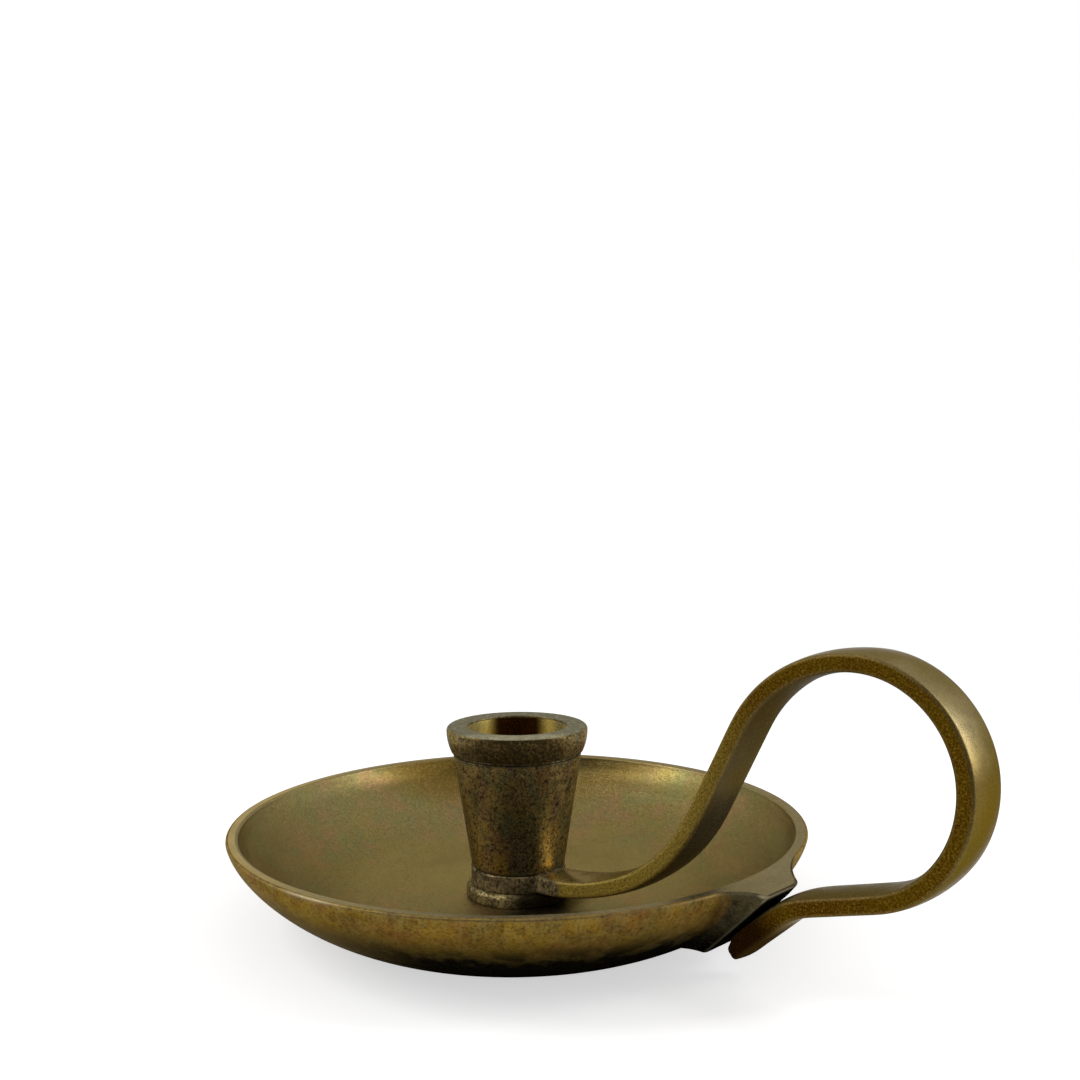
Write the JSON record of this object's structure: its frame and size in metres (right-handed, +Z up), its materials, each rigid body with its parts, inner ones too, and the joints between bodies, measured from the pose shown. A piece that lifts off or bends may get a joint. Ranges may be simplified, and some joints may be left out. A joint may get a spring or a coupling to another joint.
{
  "type": "chamberstick",
  "caption": "Low candle holder with a round drip pan, a tapered candle socket on its centre and a swivelling strap handle bent into a finger loop.",
  "frame": {"origin": "on the socket's axis, at the surface that the pan stands on", "axes": "+Z up along the candle socket, +X from the socket towards the finger loop"},
  "size_m": [0.172, 0.1274, 0.0656],
  "materials": {
    "pan_brass": "aged satin cast brass with an olive-brown patina",
    "ring_brass": "turned brass, worn bright at its shoulder",
    "handle_brass": "aged cast strap, smooth faces and grainy edges",
    "socket_brass": "turned brass with a dark mottled patina",
    "screw_brass": "plain turned brass"
  },
  "bodies": {
    "stand": {"drip_pan": "pan_brass", "seat_ring": "ring_brass", "candle_socket": "socket_brass", "socket_screw": "screw_brass"},
    "handle": {"loop_handle": "handle_brass"}
  },
  "joints": [
    {"name": "handle_swivel", "type": "hinge", "parent": "stand", "child": "handle", "pos_m": [0, 0, 0.00765], "axis": [0, 0, 1], "continuous": true}
  ]
}
